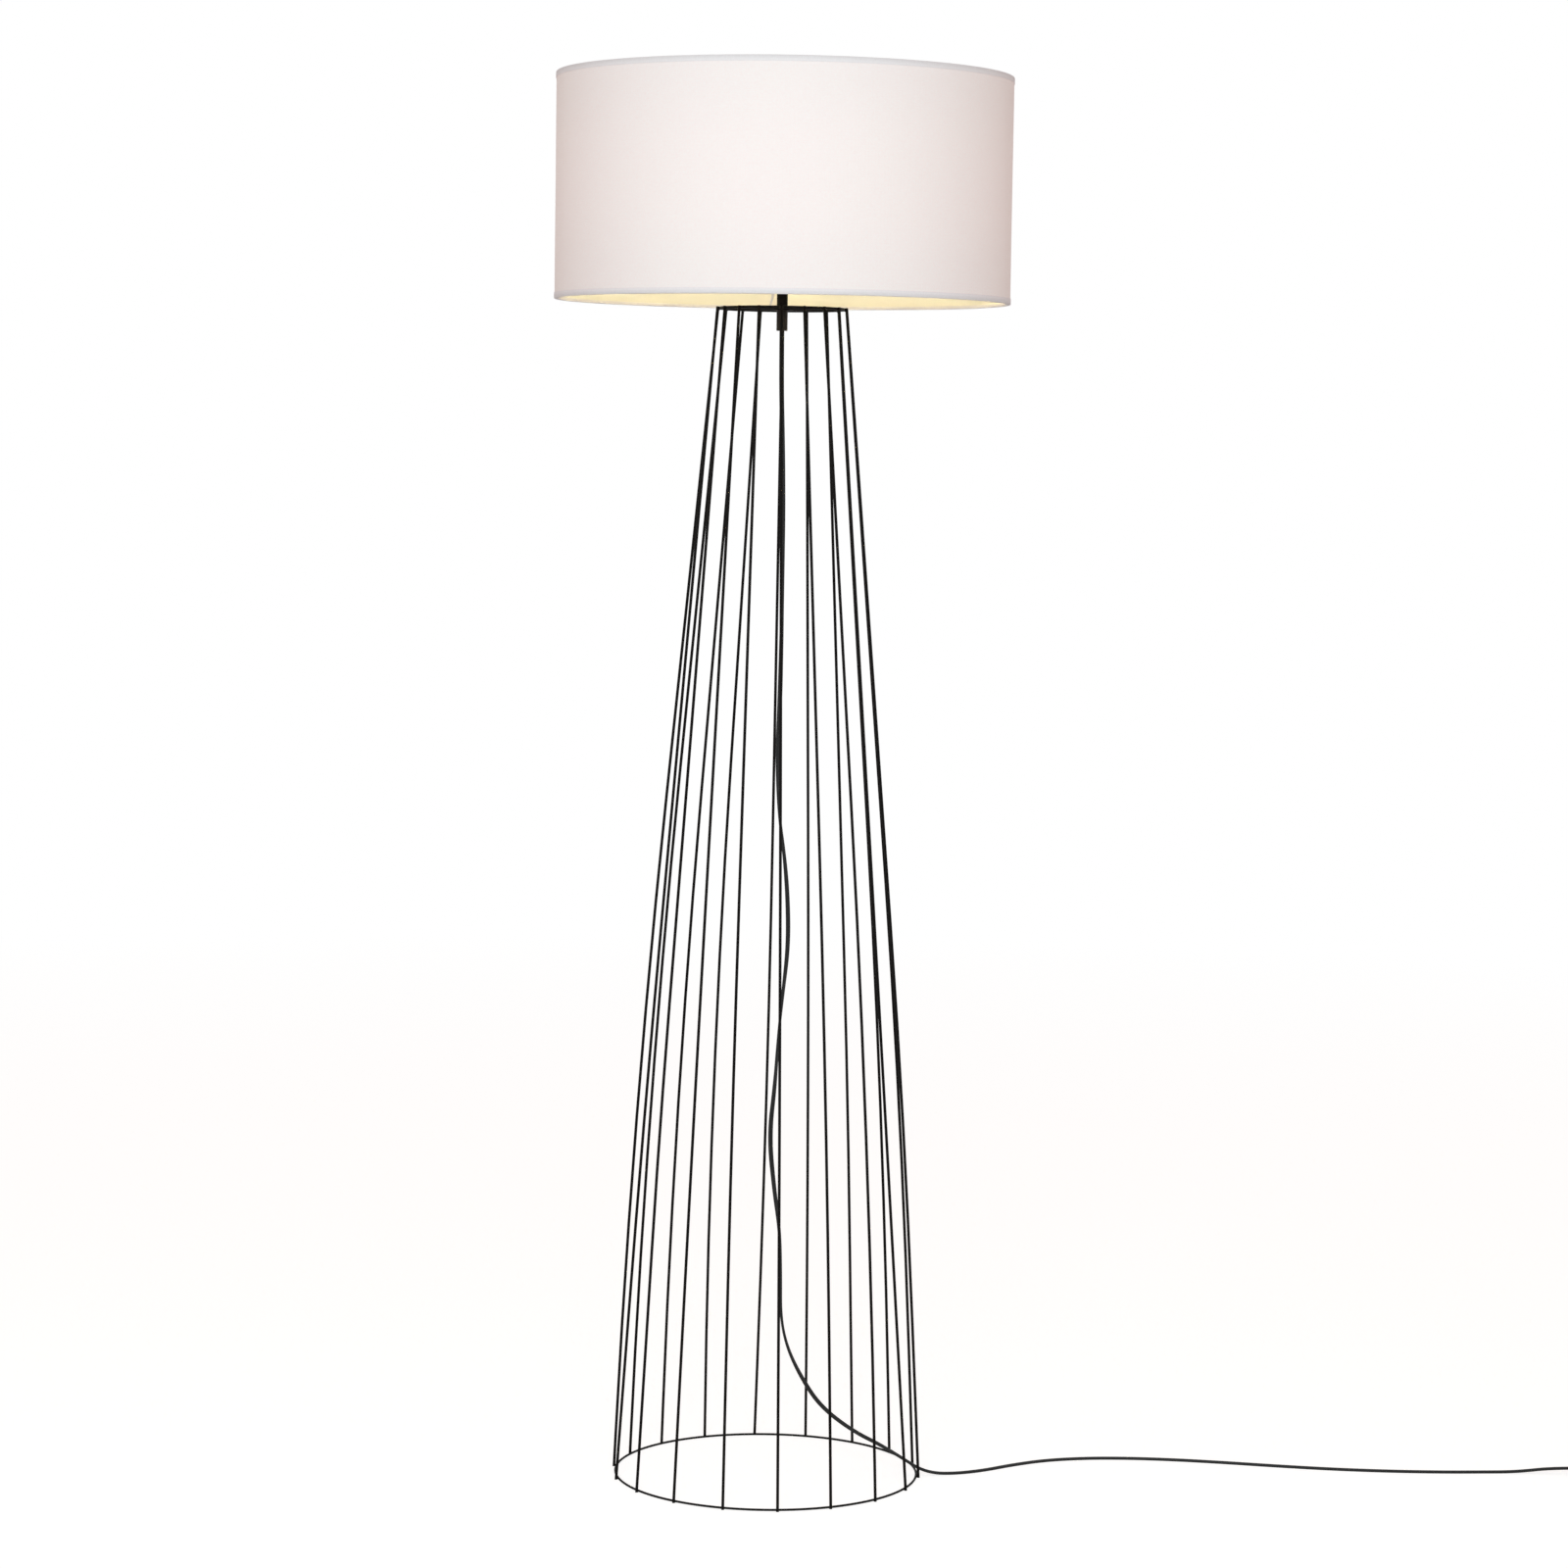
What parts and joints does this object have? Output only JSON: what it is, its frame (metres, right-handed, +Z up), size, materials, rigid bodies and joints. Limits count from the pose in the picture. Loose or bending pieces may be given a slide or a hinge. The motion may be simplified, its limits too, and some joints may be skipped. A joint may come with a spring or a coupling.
{
  "type": "fabric shade floor lamp",
  "caption": "Floor lamp with a waisted cage of upright steel rods, a fabric drum shade with a screw-in bulb, and a corded foot switch and plug.",
  "frame": {"origin": "middle of the base on the floor, on the cage's axis", "axes": "+Z up, -Y towards the front that faces the viewer, +X to the right, where the cord leaves"},
  "size_m": [1.4357, 0.5, 1.55],
  "materials": {
    "cage_paint": "satin dark powder coat",
    "zinc_steel": "zinc plated",
    "holder_black": "satin phenolic moulding",
    "porcelain": "glazed",
    "brass": "plain",
    "cap_nickel": "plated",
    "bulb_white": "gloss",
    "white_wire": "gloss white coat",
    "shade_cloth": "fine plain weave, matt",
    "shade_lining": "satin film",
    "hem_tape": "fine plain weave tape",
    "cord_black": "satin sheath",
    "tie_black": "woven hook and loop",
    "switch_black": "fine texture",
    "button_black": "satin",
    "spring_steel": "plain",
    "rubber_black": "matt",
    "bulb_opal": "opal, lit"
  },
  "bodies": {
    "lamp": {"rod_01": "cage_paint", "rod_02": "cage_paint", "rod_03": "cage_paint", "rod_04": "cage_paint", "rod_05": "cage_paint", "rod_06": "cage_paint", "rod_07": "cage_paint", "rod_08": "cage_paint", "rod_09": "cage_paint", "rod_10": "cage_paint", "rod_11": "cage_paint", "rod_12": "cage_paint", "rod_13": "cage_paint", "rod_14": "cage_paint", "rod_15": "cage_paint", "rod_16": "cage_paint", "rod_17": "cage_paint", "rod_18": "cage_paint", "base_ring": "cage_paint", "top_ring": "cage_paint", "hub_washer": "cage_paint", "hub_spokes": "cage_paint", "spacer_sleeve": "cage_paint", "threaded_tube": "zinc_steel", "cord_grip": "holder_black", "grip_screw": "holder_black", "holder_cap": "holder_black", "holder_shell": "holder_black", "clamp_ring": "holder_black", "holder_insert": "porcelain", "screw_shell": "brass", "centre_contact": "brass", "terminal_screws": "brass", "fixed_contacts": "brass", "plug_pins": "brass", "fitter_ring": "white_wire", "fitter_arms": "white_wire", "shade_bottom_wire": "white_wire", "shade_top_wire": "white_wire", "shade_cover": "shade_cloth", "shade_lining": "shade_lining", "shade_bottom_hem": "hem_tape", "shade_top_hem": "hem_tape", "cord_lead": "cord_black", "cord_coil": "cord_black", "cord_cores": "cord_black", "switch_cores": "cord_black", "coil_tie": "tie_black", "switch_base": "switch_black", "switch_cover": "switch_black", "plug_body": "switch_black", "button_spring": "spring_steel", "switch_screws": "spring_steel", "cord_grommets": "rubber_black"},
    "foot_button": {"switch_button": "button_black", "contact_bridge": "brass"},
    "bulb_lift": {"bulb_tip": "cap_nickel"},
    "bulb": {"bulb_cap": "cap_nickel", "bulb_housing": "bulb_white", "bulb_dome": "bulb_opal"}
  },
  "joints": [
    {"name": "foot_switch_press", "type": "slide", "parent": "lamp", "child": "foot_button", "axis": [0, 0, -1], "range_m": [0, 0.003], "stiffness_N_per_m": 700, "springref_m": -0.004, "deforming": ["button_spring"]},
    {"name": "bulb_rise", "type": "slide", "parent": "lamp", "child": "bulb_lift", "axis": [0, 0, 1], "range_m": [0, 0.0145]},
    {"name": "bulb_turn", "type": "hinge", "parent": "bulb_lift", "child": "bulb", "pos_m": [0, 0, 1.36], "axis": [0, 0, 1], "range_deg": [0, 1440]}
  ],
  "couplings": [
    {"joint": "bulb_turn", "follows": "bulb_rise", "rad_per_m": 1731.4}
  ]
}
